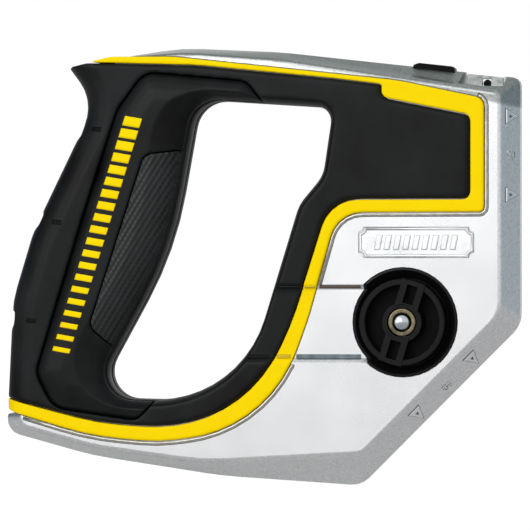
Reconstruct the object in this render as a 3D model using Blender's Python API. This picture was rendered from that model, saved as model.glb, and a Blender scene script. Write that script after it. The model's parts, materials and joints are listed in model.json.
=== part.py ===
"""Handle of an interchangeable-blade handsaw: an upright D handle in two die-cast halves with a
two-colour overmould, a screw clamp worked by a round knob, and a sprung latch on the top edge.

Frame: +X towards the blade, +Z up, Y across the thickness. The blade plane is y = 0, the near side
(with the knob) is -Y, and the lowest point of the casting is z = 0. Metres.
Depths are measured from the blade plane towards a side: side -1 is near, side +1 is far.
"""
import math

import bmesh
import bpy
from mathutils import Matrix, Vector

MM = 0.001
PLANAR_TOLERANCE = 1e-8
NEAR = -1
FAR = 1

# --- driving dimensions, millimetres -----------------------------------------------------------
ARC_TOLERANCE = 0.11        # chord error of a rounded corner
SPLIT_GAP = 0.15            # each half stops this far from the blade plane
FIT_GAP = 0.3               # clearance between neighbouring pieces
FACE_DEPTH = 12.0           # polished side face of a casting
LAND_DEPTH = 2.5            # straight land of the edge beside the blade slot
CORE_DEPTH = 7.5            # casting under the overmould
EDGE_ROUND = 1.3            # rounding of the casting's face edge
TRIM_DEPTH = 12.9           # yellow band
COVER_DEPTH = 13.5          # black cover
SPINE_EXTRA = 3.0           # stock behind the spine before it is rounded
WRAP = 3.0                  # black skin on the walls of the hand hole
PALM_SEAT_DEPTH = 8.4       # floor in the cover that the palm insert and its pad lie on
PALM_BACK_DEPTH = 8.8       # back of the palm insert and the pad
PAD_DROP = 0.4              # the pad's surface below the palm insert's
BLADE_SLOT_DEPTH = 0.6      # half of the 1.2 mm blade slot

KNOB_X = 52.4               # clamp axis
KNOB_Z = 58.2
KNOB_TOP = 15.4
KNOB_RADIUS = 15.3
KNOB_BAR_WIDTH = 8.4
KNOB_BAR_TILT = math.radians(-17.0)
DISH_RADIUS = 19.3
DISH_THROAT = 17.9          # below the flared lip of the dish
DISH_THROAT_DEPTH = 10.6
DISH_FLOOR_DEPTH = 5.6
STUD_RADIUS = 2.9
PLATE_RADIUS = 10.5
PLATE_DEPTHS = (0.7, 2.4)

CHANNEL_DEPTH = 1.3         # recess from the knob to the hand hole
CHANNEL_CENTRE_Z = 57.7
CHANNEL_HALF_MOUTH = 13.5
CHANNEL_HALF_FLOOR = 12.1

LABEL_CENTRE = (57.1, 86.5)
LABEL_SIZE = (40.8, 10.5)
LABEL_NOTCH = 2.0

BUTTON_HALF_WIDTH = 3.2

BUTTON = [                             # side view of the release button
    (53.9, 139.0, 0), (70.7, 139.0, 0), (70.7, 140.9, 0), (69.7, 140.9, 0), (69.7, 148.3, 0.3),
    (68.7, 149.1, 0.6), (56.9, 150.4, 0.6), (54.9, 149.7, 0.3), (54.9, 140.9, 0), (53.9, 140.9, 0)]
BUTTON_CHAMBER = ((53.4, 71.2), (120.0, 141.3))
BUTTON_SLOT = ((54.6, 70.0), (141.0, 160.0))
BUTTON_CHAMBER_DEPTH = 4.8

PAWL_PIVOT = (77.0, 128.0)
PAWL_HALF_WIDTH = 1.4
PAWL = [                               # bell crank: left arm under the button, hook at the right
    (66.4, 136.7, 0.5), (72.2, 128.5, 3), (74.3, 124.2, 1), (80.5, 124.0, 1), (83.6, 123.6, 1),
    (84.2, 119.8, 0.4), (87.2, 120.4, 0.4), (87.0, 127.5, 2), (80.5, 131.6, 2), (75.5, 132.0, 2),
    (70.4, 138.4, 0.5), (66.9, 138.4, 0.5)]
PAWL_CHAMBER = [
    (63.6, 141.0, 1), (63.6, 120.5, 1), (72.0, 117.5, 2), (89.3, 117.5, 2), (89.6, 128.0, 2),
    (84.0, 133.4, 2), (76.0, 134.0, 2), (73.0, 141.0, 1)]
PIN_RADIUS = 1.5
CATCH = [(73.9, 134.4, 0), (87.0, 134.4, 0), (87.0, 145.1, 0.3), (73.9, 146.5, 0.3)]
CATCH_HALF_WIDTH = 1.6
CATCH_WINDOW = (81.0, 143.0, 1.6)      # centre and half side
SCOOP = [(71.3, 141.9, 0.3), (87.6, 141.9, 0.3), (90.2, 152.0, 0.3), (75.0, 152.0, 0.3)]
SCOOP_DEPTH = 9.4

SPRING_X = 60.0
SPRING_Z = (120.4, 138.6)
SPRING_RADIUS = 2.6
SPRING_WIRE = 0.45
SPRING_TURNS = 6

# Corner lists: x, z and corner radius, all seen from the near side.
CASTING_EDGE = [                       # at the blade plane
    (-92.1, 25.2, 1.1), (-92.6, 18.8, 5.8), (-61.0, 10.2, 108), (-14.2, 3.2, 144),
    (35.8, 0.0, 7.6), (93.1, 57.3, 10.1), (93.1, 144.8, 2.9), (7.4, 154.4, 90),
    (-28.6, 156.1, 72), (-51.3, 152.7, 1.4), (-57.2, 144.4, 3.6), (-56.8, 130.7, 10.8),
    (-72.6, 96.5, 14.4), (-82.7, 55.1, 14.4), (-83.4, 27.0, 2.2)]
CASTING_FACE = [                       # at the side face
    (-86.0, 25.8, 1.1), (-86.0, 20.9, 3.6), (-59.2, 13.5, 72), (-19.6, 8.1, 90),
    (37.8, 11.4, 6.5), (87.2, 60.8, 10.8), (87.2, 139.6, 2.9), (9.2, 151.4, 90),
    (-26.8, 154.1, 72), (-49.5, 152.3, 1.4), (-57.2, 144.4, 3.6), (-56.8, 130.7, 10.8),
    (-72.6, 96.5, 14.4), (-82.7, 55.1, 14.4), (-83.4, 27.0, 2.2)]
SPINE = [                              # rear profile, horn to heel
    (-69.9, 149.2, 0.3), (-60.4, 136.6, 15), (-66.4, 124.4, 16), (-82.9, 90.5, 30),
    (-90.3, 66.0, 40), (-92.0, 31.0, 0.3)]
TRIM_EDGE = [                          # yellow against metal
    (-91.1, 26.7, 1.1), (-60.0, 17.4, 108), (-36.0, 15.4, 60), (4.0, 20.2, 48),
    (18.3, 60.0, 60), (28.9, 97.2, 11.9), (81.3, 97.3, 1.8), (81.3, 137.5, 3.6),
    (50.6, 144.0, 54), (-30.4, 152.8, 28.8), (-53.1, 152.9, 14.4), (-61.5, 150.8, 0.3)]
COVER_EDGE = [                         # black against yellow
    (-57.4, 22.2, 90), (-36.0, 20.6, 60), (-2.9, 24.8, 48), (12.9, 59.5, 60),
    (26.3, 101.8, 13.7), (76.3, 101.9, 2.5), (76.3, 131.6, 2.5), (44.3, 138.0, 2.9),
    (44.8, 142.5, 0.7), (27.2, 144.7, 72), (-21.4, 149.6, 72), (-61.5, 150.8, 0.3)]
HAND_HOLE = [
    (-22.4, 137.6, 10.8), (-32.0, 84.0, 128), (-61.0, 31.0, 9.7), (-34.5, 30.4, 18),
    (-5.6, 34.8, 41), (14.4, 100.1, 12.6), (23.0, 110.4, 10.8), (26.6, 134.4, 5.0)]
PALM_SIDE = (0, 1)                     # edges of the hole, from these corners, that the palm wraps
PALM_EDGE = [                          # palm insert; its right side lies inside the hand hole
    (3.5, 134.5, 0.5), (-3.9, 143.8, 5.0), (-40.5, 147.2, 7.0), (-50.3, 134.0, 12),
    (-63.0, 95.0, 60), (-79.9, 40.0, 7.0), (-73.5, 27.6, 8.0), (-43.5, 23.3, 4.0),
    (-33.9, 33.5, 0.5), (-20.0, 70.0, 60)]
PALM_INNER = 3                         # this many corners at the end and start lie inside the hole
PAD_EDGE = [                           # textured pad; its right side lies inside the hand hole
    (-20.0, 120.3, 0.5), (-40.2, 117.9, 4.5), (-60.2, 56.6, 4.0), (-47.0, 44.0, 0.5), (-22.0, 80.0, 9)]
HOLLOW = [                             # lightening pocket behind the mating plane
    (-79.0, 28.0, 2.0), (-60.0, 15.5, 30), (-14.0, 8.5, 60), (33.0, 6.5, 5), (87.0, 61.0, 6),
    (87.0, 138.5, 3), (7.0, 149.0, 60), (-28.0, 151.0, 60), (-49.0, 147.5, 3), (-52.5, 130.0, 8),
    (-68.5, 96.0, 10), (-78.5, 55.0, 10)]
SPINE_NOTCHES = [(-64.6, 129.4, 17.0), (-79.3, 97.3, 24.0), (-89.5, 61.8, 10.0)]   # x, z, lean
NOTCH_DEPTH = 1.3
NOTCH_HALF_WIDTH = 8.5

BODY_SCREWS = [(-51.5, 134.0), (-73.5, 37.0), (36.5, 126.0), (71.5, 108.0), (27.0, 26.0), (79.0, 79.5)]
LOCATING_DOWELS = [(-62.0, 21.0), (36.0, 105.5)]

MATERIALS = {
    # name: colour, roughness, metallic
    "cast_aluminium": ((0.78, 0.79, 0.80), 0.30, 1.0),
    "yellow_overmould": ((0.95, 0.70, 0.0), 0.42, 0.0),
    "black_overmould": ((0.018, 0.020, 0.020), 0.48, 0.0),
    "black_plastic": ((0.022, 0.024, 0.024), 0.38, 0.0),
    "bright_steel": ((0.72, 0.73, 0.74), 0.22, 1.0),
    "spring_steel": ((0.45, 0.45, 0.46), 0.30, 1.0),
    "brass": ((0.66, 0.55, 0.33), 0.35, 1.0),
    "satin_plate": ((0.70, 0.71, 0.72), 0.40, 1.0),
}


# --- scene and materials -----------------------------------------------------------------------
def clear_scene():
    for item in list(bpy.data.objects):
        bpy.data.objects.remove(item, do_unlink=True)


def material(name):
    found = bpy.data.materials.get(name)
    if found:
        return found
    colour, roughness, metallic = MATERIALS[name]
    made = bpy.data.materials.new(name)
    made.use_nodes = True
    shader = made.node_tree.nodes["Principled BSDF"]
    shader.inputs["Base Color"].default_value = (*colour, 1.0)
    shader.inputs["Roughness"].default_value = roughness
    shader.inputs["Metallic"].default_value = metallic
    made.diffuse_color = (*colour, 1.0)
    return made


# --- outlines ----------------------------------------------------------------------------------
def turn_at(corners, index):
    """Unit directions before and after a corner, and the signed turn between them."""
    before = Vector(corners[index][:2]) - Vector(corners[index - 1][:2])
    after = Vector(corners[(index + 1) % len(corners)][:2]) - Vector(corners[index][:2])
    before.normalize()
    after.normalize()
    turn = math.atan2(before.x * after.y - before.y * after.x, before.dot(after))
    return before, after, turn


def anticlockwise(corners):
    area = sum(a[0] * b[1] - b[0] * a[1] for a, b in zip(corners, corners[1:] + corners[:1]))
    return corners if area > 0 else corners[::-1]


def arc_steps(corners):
    """Number of chords for each corner, from its radius and turn."""
    steps = []
    for index, corner in enumerate(corners):
        if corner[2] == 0:
            steps.append(0)
            continue
        turn = abs(turn_at(corners, index)[2])
        radius = max(corner[2], 2 * ARC_TOLERANCE)
        chord_angle = 2 * math.acos(1 - ARC_TOLERANCE / radius)
        steps.append(max(1, math.ceil(turn / chord_angle)))
    return steps


def rounded(corners, steps=None):
    """Closed outline of straight edges and tangent corner arcs, in millimetres."""
    steps = steps or arc_steps(corners)
    points = []
    for index, (x, z, radius) in enumerate(corners):
        if steps[index] == 0:
            points.append(Vector((x, z)))
            continue
        before, after, turn = turn_at(corners, index)
        reach = radius * math.tan(abs(turn) / 2)
        start = Vector((x, z)) - before * reach
        inward = Vector((-before.y, before.x)) * math.copysign(1, turn)
        centre = start + inward * radius
        for step in range(steps[index] + 1):
            angle = turn * step / steps[index]
            spoke = Matrix.Rotation(angle, 2) @ (start - centre)
            points.append(centre + spoke)
    return points


def grown(corners, distances):
    """Corner list moved outwards by one distance, or by one for each edge that leaves a corner."""
    count = len(corners)
    if not isinstance(distances, (list, tuple)):
        distances = [distances] * count
    moved = []
    for index, (x, z, radius) in enumerate(corners):
        before, after, turn = turn_at(corners, index)
        out_before = Vector((before.y, -before.x)) * distances[index - 1]
        out_after = Vector((after.y, -after.x)) * distances[index]
        cross = before.x * after.y - before.y * after.x
        along = ((out_after - out_before).x * after.y - (out_after - out_before).y * after.x) / cross
        point = Vector((x, z)) + out_before + before * along
        mean = (distances[index - 1] + distances[index]) / 2
        moved.append((point.x, point.y, max(0.2, radius + math.copysign(mean, turn * mean) * (mean != 0))))
    return moved


def blended(corners_a, corners_b, share):
    return [tuple(a + (b - a) * share for a, b in zip(first, second))
            for first, second in zip(corners_a, corners_b)]


# --- solids ------------------------------------------------------------------------------------
def finish_mesh(name, bm, surface):
    bmesh.ops.recalc_face_normals(bm, faces=bm.faces)
    mesh = bpy.data.meshes.new(name)
    bm.to_mesh(mesh)
    bm.free()
    made = bpy.data.objects.new(name, mesh)
    bpy.context.scene.collection.objects.link(made)
    mesh.materials.append(material(surface))
    return made


def planar(face):
    origin = face.verts[0].co
    return all(abs((vert.co - origin).dot(face.normal)) < PLANAR_TOLERANCE for vert in face.verts)


def loft(name, rings, side, surface="black_plastic"):
    """Closed solid through rings of (outline, depth)."""
    bm = bmesh.new()
    loops = [[bm.verts.new((p.x * MM, side * depth * MM, p.y * MM)) for p in outline]
             for outline, depth in rings]
    for lower, upper in zip(loops, loops[1:]):
        for index in range(len(lower)):
            following = (index + 1) % len(lower)
            quad = bm.faces.new((lower[index], lower[following], upper[following], upper[index]))
            quad.normal_update()
            if not planar(quad):
                bmesh.ops.triangulate(bm, faces=[quad])
    bm.faces.new(loops[0])
    bm.faces.new(loops[-1])
    return finish_mesh(name, bm, surface)


def loft_corners(name, sections, side, surface="black_plastic"):
    """Closed solid through sections of (corner list, depth); the first sets the arc steps."""
    sections = [(anticlockwise(corners), depth) for corners, depth in sections]
    roundest = max((corners for corners, depth in sections), key=lambda c: sum(point[2] for point in c))
    steps = arc_steps(roundest)
    return loft(name, [(rounded(corners, steps), depth) for corners, depth in sections], side, surface)


def prism(name, corners, depth_from, depth_to, side, surface="black_plastic"):
    return loft_corners(name, [(corners, depth_from), (corners, depth_to)], side, surface)


def block(name, x_range, depths, z_range, side, surface="black_plastic"):
    outline = [Vector((x_range[0], z_range[0])), Vector((x_range[1], z_range[0])),
               Vector((x_range[1], z_range[1])), Vector((x_range[0], z_range[1]))]
    return loft(name, [(outline, depths[0]), (outline, depths[1])], side, surface)


def turned(name, profile, centre, side, surface="black_plastic", segments=32):
    """Solid of revolution about a Y axis through centre, from a closed (radius, depth) profile.
    A profile that starts and ends at radius 0 is solid on its axis."""
    bm = bmesh.new()
    rings = []
    for radius, depth in profile:
        if radius == 0:
            rings.append([bm.verts.new((centre[0] * MM, side * depth * MM, centre[1] * MM))])
            continue
        ring = []
        for index in range(segments):
            angle = 2 * math.pi * index / segments
            ring.append(bm.verts.new(((centre[0] + radius * math.cos(angle)) * MM, side * depth * MM,
                                      (centre[1] + radius * math.sin(angle)) * MM)))
        rings.append(ring)
    pairs = list(zip(rings, rings[1:]))
    if profile[0][0] != 0:
        pairs.append((rings[-1], rings[0]))
    for first, second in pairs:
        for index in range(segments):
            following = (index + 1) % segments
            if len(first) == 1 and len(second) == 1:
                break
            if len(first) == 1:
                bm.faces.new((first[0], second[following], second[index]))
            elif len(second) == 1:
                bm.faces.new((first[index], first[following], second[0]))
            else:
                bm.faces.new((first[index], first[following], second[following], second[index]))
    return finish_mesh(name, bm, surface)


def rod(name, centre, radius, depths, side, surface="black_plastic", segments=24):
    profile = [(0, depths[0]), (radius, depths[0]), (radius, depths[1]), (0, depths[1])]
    return turned(name, profile, centre, side, surface, segments)


def combine(target, tool, operation):
    """Apply an exact Boolean at once and remove the tool."""
    step = target.modifiers.new("combine", "BOOLEAN")
    step.operation = operation
    step.solver = "EXACT"
    step.object = tool
    graph = bpy.context.evaluated_depsgraph_get()
    result = bpy.data.meshes.new_from_object(target.evaluated_get(graph))
    target.modifiers.clear()
    target.data = result
    bpy.data.objects.remove(tool, do_unlink=True)
    return target


def cut(target, *tools):
    for tool in tools:
        combine(target, tool, "DIFFERENCE")
    return target


def keep(target, tool):
    return combine(target, tool, "INTERSECT")


def fuse(target, *tools):
    for tool in tools:
        combine(target, tool, "UNION")
    return target


def smooth(made, angle=35):
    made.data.shade_smooth()
    made.data.set_sharp_from_angle(angle=math.radians(angle))
    return made


def set_origin(made, x, y, z):
    """Put the object's origin at a point in millimetres without moving its shape."""
    point = Vector((x, y, z)) * MM
    made.data.transform(Matrix.Translation(-point))
    made.location = point
    return made


def side_name(side):
    return "near" if side == NEAR else "far"


# --- shared cutters ----------------------------------------------------------------------------
def hole_cutter(gap, side):
    """Hand hole whose mouth flares: a full round on the palm side, a small one elsewhere."""
    flare = [(-1, 0, 0), (5, 0, 0), (8.2, 0.7, 0.2), (10.6, 2.0, 0.7), (12.6, 4.0, 1.6),
             (14.4, 6.6, 2.8), (15.9, 10.0, 3.6), (17.2, 14.5, 4.2), (20, 18.0, 5.0)]
    sections = []
    for depth, palm, other in flare:
        distances = [other + gap] * len(HAND_HOLE)
        for edge in PALM_SIDE:
            distances[edge] = palm + gap
        sections.append((grown(HAND_HOLE, distances), depth))
    return loft_corners("hole_cutter", sections, side)


def spine_envelope(top, side):
    """Everything in front of the rounded spine, up to a depth below the cover's top."""
    rounding = [(-1, 0), (3.5, 0.25), (6.5, 0.9), (9.0, 2.1), (11.0, 3.9), (12.4, 6.2), (13.5, 9.5)]
    outline = anticlockwise(SPINE + [(-92.0, -20, 0.3), (130, -20, 0.3), (130, 180, 0.3), (-69.9, 180, 0.3)])
    spine_keys = {corner[:2] for corner in SPINE + [(-92.0, -20, 0.3)]}
    sections = []
    for depth, inset in rounding:
        distances = []
        for index, corner in enumerate(outline):
            following = outline[(index + 1) % len(outline)]
            both = corner[:2] in spine_keys and following[:2] in spine_keys
            distances.append(-inset if both else 0)
        sections.append((grown(outline, distances), min(depth, depth * top / COVER_DEPTH)))
    return loft_corners("spine_envelope", sections, side)


def core_cutter(gap, side):
    """Space of the casting's core under the overmould."""
    core = prism("core_cutter", grown(anticlockwise(CASTING_EDGE), gap), -1, CORE_DEPTH + gap, side)
    opening = prism("opening", grown(anticlockwise(HAND_HOLE), WRAP - gap), -2, 30, side)
    return cut(core, opening)


def channel_cutter(floor_depth, side):
    """Trapezium channel along X with sloping side walls."""
    half_floor = CHANNEL_HALF_FLOOR
    half_mouth = CHANNEL_HALF_MOUTH + 2.0
    bm = bmesh.new()
    verts = []
    for x in (-30.0, KNOB_X):
        for depth, half in ((floor_depth, half_floor), (floor_depth + 3.2, half_mouth + 1.0)):
            for direction in (-1, 1):
                z = CHANNEL_CENTRE_Z + direction * half
                verts.append(bm.verts.new((x * MM, side * depth * MM, z * MM)))
    for quad in ((0, 1, 3, 2), (4, 6, 7, 5), (0, 2, 6, 4), (1, 5, 7, 3), (0, 4, 5, 1), (2, 3, 7, 6)):
        bm.faces.new([verts[i] for i in quad])
    return finish_mesh("channel_cutter", bm, "black_plastic")


# --- castings ----------------------------------------------------------------------------------
def lightening_cutter(side):
    """Hollow behind the mating plane, clear of the rim, the bosses and the mechanisms."""
    hollow = prism("hollow", HOLLOW, -1, 5.0, side)
    keep_outs = [prism("rim", grown(anticlockwise(HAND_HOLE), WRAP + 2.2), -3, 9, side),
                 rod("knob_boss", (KNOB_X, KNOB_Z), 22.0, (-3, 9), side),
                 block("latch_boss", (47, 92), (-3, 9), (110, 158), side),
                 block("rib_low", (40, 43), (-3, 9), (2, 60), side),
                 block("rib_rear", (-70, -40), (-3, 9), (78, 81), side)]
    keep_outs += [rod("boss", at, 4.4, (-3, 9), side, segments=12) for at in BODY_SCREWS]
    keep_outs += [rod("boss", at, 3.4, (-3, 9), side, segments=12) for at in LOCATING_DOWELS]
    return cut(hollow, *keep_outs)


def casting(side):
    face = anticlockwise(CASTING_FACE)
    edge = anticlockwise(CASTING_EDGE)
    sections = [(edge, SPLIT_GAP), (edge, LAND_DEPTH), (blended(edge, face, 0.9), FACE_DEPTH - 1.1),
                (grown(face, -0.45), FACE_DEPTH - 0.3), (grown(face, -EDGE_ROUND), FACE_DEPTH)]
    body = loft_corners(side_name(side) + "_casting", sections, side, "cast_aluminium")
    cut(body,
        prism("overmould_seat", behind(TRIM_EDGE, FIT_GAP), CORE_DEPTH, 30, side),
        prism("opening", grown(anticlockwise(HAND_HOLE), WRAP), -2, 30, side),
        block("blade_slot", (20, 110), (-1, BLADE_SLOT_DEPTH), (61.5, 141), side),
        lightening_cutter(side))
    for at in BODY_SCREWS:
        if side == FAR:
            cut(body, rod("screw_clearance", at, 1.85, (-1, 30), side, segments=10),
                rod("screw_head_seat", at, 3.35, (CORE_DEPTH - 2.3, 30), side, segments=14))
        else:
            cut(body, rod("screw_thread", at, 1.65, (-1, 5.6), side, segments=10))
    for at in LOCATING_DOWELS:
        cut(body, rod("dowel_seat", at, 1.8, (-1, 4.3), side, segments=12))
    cut_latch_space(body, side)
    cut_clamp_space(body, side)
    return smooth(body)


def cut_latch_space(body, side):
    depths = (-1, BUTTON_CHAMBER_DEPTH)
    catch_seat = grown(CATCH[:2] + [(87.0, 160.0, 0), (73.9, 160.0, 0)], FIT_GAP)
    cut(body,
        block("button_chamber", BUTTON_CHAMBER[0], depths, BUTTON_CHAMBER[1], side),
        block("button_slot", BUTTON_SLOT[0], (-1, BUTTON_HALF_WIDTH + FIT_GAP), BUTTON_SLOT[1], side),
        prism("pawl_chamber", PAWL_CHAMBER, -1.2, PAWL_HALF_WIDTH + 0.5, side),
        rod("pin_seat", PAWL_PIVOT, PIN_RADIUS + FIT_GAP, (-1.4, 4.6), side, segments=16),
        prism("catch_seat", catch_seat, -1.6, CATCH_HALF_WIDTH + FIT_GAP, side),
        prism("scoop", SCOOP, 0.4, SCOOP_DEPTH, side))
    if side == FAR:
        cut(body, rod("pawl_spring_space", PAWL_PIVOT, 3.6, (-0.8, 4.2), side, segments=24))


def cut_clamp_space(body, side):
    axis = (KNOB_X, KNOB_Z)
    throat = DISH_THROAT + FIT_GAP
    mouth = DISH_RADIUS + FIT_GAP
    dish_seat = [(0, DISH_FLOOR_DEPTH - FIT_GAP), (throat, DISH_FLOOR_DEPTH - FIT_GAP),
                 (throat, DISH_THROAT_DEPTH), (mouth, FACE_DEPTH), (mouth, 30), (0, 30)]
    if side == NEAR:
        cut(body,
            channel_cutter(FACE_DEPTH - CHANNEL_DEPTH, side),
            label_solid("label_seat", (FACE_DEPTH - 0.8, 20), FIT_GAP, side),
            turned("dish_seat", dish_seat, axis, side, segments=40),
            rod("hub_way", axis, 7.3, (-2, 8), side, segments=24),
            rod("plate_pocket", axis, PLATE_RADIUS + FIT_GAP, (-1, 3.5), side, segments=24))
    else:
        cut(body,
            rod("stud_way", axis, STUD_RADIUS + FIT_GAP, (-1, 30), side, segments=24),
            rod("nut_seat", axis, 6.7, (7.3, 30), side, segments=32))


def label_solid(name, depths, gap, side, surface="satin_plate"):
    """Flat plate whose corners are scooped by quarter rounds."""
    half_x, half_z = LABEL_SIZE[0] / 2 + gap, LABEL_SIZE[1] / 2 + gap
    x, z = LABEL_CENTRE
    plate = block(name, (x - half_x, x + half_x), depths, (z - half_z, z + half_z), side, surface)
    for across in (-1, 1):
        for up in (-1, 1):
            corner = (x + across * half_x, z + up * half_z)
            cut(plate, rod("scallop", corner, LABEL_NOTCH - gap, (0, 40), side, segments=16))
    return plate


# --- overmould ---------------------------------------------------------------------------------
def behind(edge, shift, extra=SPINE_EXTRA):
    """Closed outline from an edge back past the spine, with the edge moved outwards by shift."""
    distances = [shift] * len(edge) + [extra] * (len(SPINE) - 1) + [shift]
    return grown(edge + SPINE, distances)


def trim_band(side):
    """Yellow band between the metal and the black cover."""
    outline = behind(TRIM_EDGE, 0)
    sections = [(outline, SPLIT_GAP), (outline, TRIM_DEPTH - 0.5), (behind(TRIM_EDGE, -0.5), TRIM_DEPTH)]
    band = loft_corners(side_name(side) + "_trim_band", sections, side, "yellow_overmould")
    inner = behind(COVER_EDGE, FIT_GAP / 2, 2 * SPINE_EXTRA)
    keep(band, spine_envelope(TRIM_DEPTH + 0.6, side))
    cut(band, prism("cover_space", inner, -2, 40, side), core_cutter(FIT_GAP, side))
    if side == NEAR:
        cut(band, channel_cutter(TRIM_DEPTH - CHANNEL_DEPTH, side))
    return smooth(band)


def notch_cutter(x, z, lean, side):
    """Wedge across the spine: a square shoulder above, a ramp below."""
    lean = math.radians(lean)
    down = Vector((-math.sin(lean), -math.cos(lean)))
    out = Vector((-math.cos(lean), math.sin(lean)))
    shape = [(0, -NOTCH_DEPTH), (4.4, -NOTCH_DEPTH), (7.6, 0.5), (7.6, 6), (0, 6)]
    corners = []
    for along, outward in shape:
        point = Vector((x, z)) + down * along + out * outward
        corners.append((point.x, point.y, 0))
    return loft("notch", [([Vector(c[:2]) for c in corners], -1),
                          ([Vector(c[:2]) for c in corners], NOTCH_HALF_WIDTH)], side)


def grip_cover(side):
    """Black cover: front panel, rim of the hand hole and rounded spine."""
    outline = behind(COVER_EDGE, -FIT_GAP / 2)
    sections = [(outline, SPLIT_GAP), (outline, COVER_DEPTH - 0.9), (behind(COVER_EDGE, -0.9), COVER_DEPTH)]
    cover = loft_corners(side_name(side) + "_grip_cover", sections, side, "black_overmould")
    keep(cover, spine_envelope(COVER_DEPTH + 0.2, side))
    cut(cover,
        hole_cutter(0, side),
        core_cutter(FIT_GAP, side),
        prism("palm_space", grown(PALM_EDGE, FIT_GAP), PALM_SEAT_DEPTH, 40, side))
    cut(cover, *[notch_cutter(*notch, side) for notch in SPINE_NOTCHES])
    if side == NEAR:
        cut(cover, channel_cutter(COVER_DEPTH - CHANNEL_DEPTH, side))
    else:
        cut(cover, *[rod("screw_way", at, 3.5, (0, 40), side, segments=12) for at in BODY_SCREWS])
    return smooth(cover)


def palm_block(name, lowered, side):
    """Crowned block over the palm outline, before the hand hole is cut from it."""
    crown = [(0, PALM_BACK_DEPTH), (0, 12.3), (1.2, 13.9), (2.9, 15.1), (5.4, 16.0), (9.0, 16.6)]
    count = len(PALM_EDGE)
    sections = []
    for inset, depth in crown:
        distances = [-inset] * count
        distances[count - PALM_INNER:] = [0] * PALM_INNER
        sections.append((grown(PALM_EDGE, distances), depth - lowered))
    return loft_corners(name, sections, side, "black_overmould")


def palm_insert(side):
    insert = palm_block(side_name(side) + "_palm_insert", 0, side)
    pad_space = prism("pad_space", grown(PAD_EDGE, FIT_GAP / 2), PALM_SEAT_DEPTH - FIT_GAP, 40, side)
    cut(insert, hole_cutter(0, side), pad_space)
    if side == FAR:
        cut(insert, *[rod("screw_way", at, 3.5, (0, 40), side, segments=12) for at in BODY_SCREWS])
    return smooth(insert)


def grip_pad(side):
    """Ribbed pad beside the palm insert, a little below its surface and open to the hand hole."""
    pad = palm_block(side_name(side) + "_grip_pad", PAD_DROP, side)
    keep(pad, prism("pad_outline", grown(PAD_EDGE, -FIT_GAP / 2), PALM_BACK_DEPTH, 40, side))
    return smooth(cut(pad, hole_cutter(PAD_DROP, side)))


# --- clamp -------------------------------------------------------------------------------------
def clamp():
    axis = (KNOB_X, KNOB_Z)
    profile = [(8.0, DISH_FLOOR_DEPTH), (DISH_THROAT, DISH_FLOOR_DEPTH), (DISH_THROAT, DISH_THROAT_DEPTH),
               (DISH_RADIUS, FACE_DEPTH), (DISH_RADIUS - 0.7, FACE_DEPTH + 0.1), (16.0, 9.4), (16.0, 6.7),
               (8.0, 6.7)]
    dish = turned("knob_dish", profile, axis, NEAR, "black_plastic", 40)
    smooth(cut(dish, channel_cutter(FACE_DEPTH - CHANNEL_DEPTH, NEAR)))

    wall = [(5.3, 7.0), (KNOB_RADIUS, 7.0), (KNOB_RADIUS, KNOB_TOP - 0.4), (KNOB_RADIUS - 0.4, KNOB_TOP),
            (13.5, KNOB_TOP), (13.2, KNOB_TOP - 0.3), (13.2, 8.4), (7.6, 8.4), (7.0, KNOB_TOP - 0.2),
            (5.3, KNOB_TOP - 0.2)]
    knob = turned("clamp_knob", wall, axis, NEAR, "black_plastic", 40)
    fuse(knob, knob_bar())
    for direction in (-1, 1):
        cut(knob, bar_block("bar_pocket", (direction * 10.2, 6.7), 3.8, (11.0, 30)))
    smooth(set_origin(knob, KNOB_X, 0, KNOB_Z))

    bushing = [(3.3, 6.2), (5.0, 6.2), (5.0, 14.9), (4.7, 15.2), (3.6, 15.2), (3.3, 14.9)]
    smooth(set_origin(turned("knob_bushing", bushing, axis, NEAR, "brass", 24), KNOB_X, 0, KNOB_Z))

    stud = [(0, -11.6), (2.6, -11.6), (STUD_RADIUS, -11.3), (STUD_RADIUS, 15.0), (2.5, 15.8), (1.4, 16.3),
            (0, 16.5)]
    smooth(turned("clamp_stud", stud, axis, NEAR, "bright_steel", 24))
    nut = turned("stud_nut", [(0, 7.6), (5.7, 7.6), (5.7, 11.4), (0, 11.4)], axis, FAR, "bright_steel", 6)
    cut(nut, rod("thread", axis, STUD_RADIUS + 0.2, (0, 30), FAR, segments=24))

    washer = [(3.3, 4.9), (6.6, 4.9), (6.6, 5.9), (3.3, 5.9)]
    smooth(turned("thrust_washer", washer, axis, NEAR, "spring_steel", 24))
    plate = [(3.3, PLATE_DEPTHS[0]), (PLATE_RADIUS, PLATE_DEPTHS[0]), (PLATE_RADIUS, PLATE_DEPTHS[1]),
             (6.2, PLATE_DEPTHS[1]), (6.2, 4.6), (3.3, 4.6)]
    smooth(turned("pressure_plate", plate, axis, NEAR, "spring_steel", 24))


def bar_block(name, along, width, depths):
    """Block along the knob's tilted bar; along is its centre and length on that line."""
    centre, length = along
    outline = []
    for up, across in ((-1, -1), (-1, 1), (1, 1), (1, -1)):
        local = Vector((across * width / 2, centre + up * length / 2))
        outline.append(Matrix.Rotation(KNOB_BAR_TILT, 2) @ local + Vector((KNOB_X, KNOB_Z)))
    return loft(name, [(outline, depths[0]), (outline, depths[1])], NEAR)


def knob_bar():
    bar = bar_block("knob_bar", (0, 2 * KNOB_RADIUS - 0.5), KNOB_BAR_WIDTH, (7.6, KNOB_TOP + 0.5))
    return cut(bar, rod("hub_clear", (KNOB_X, KNOB_Z), 6.4, (0, 30), NEAR, segments=32))


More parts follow.
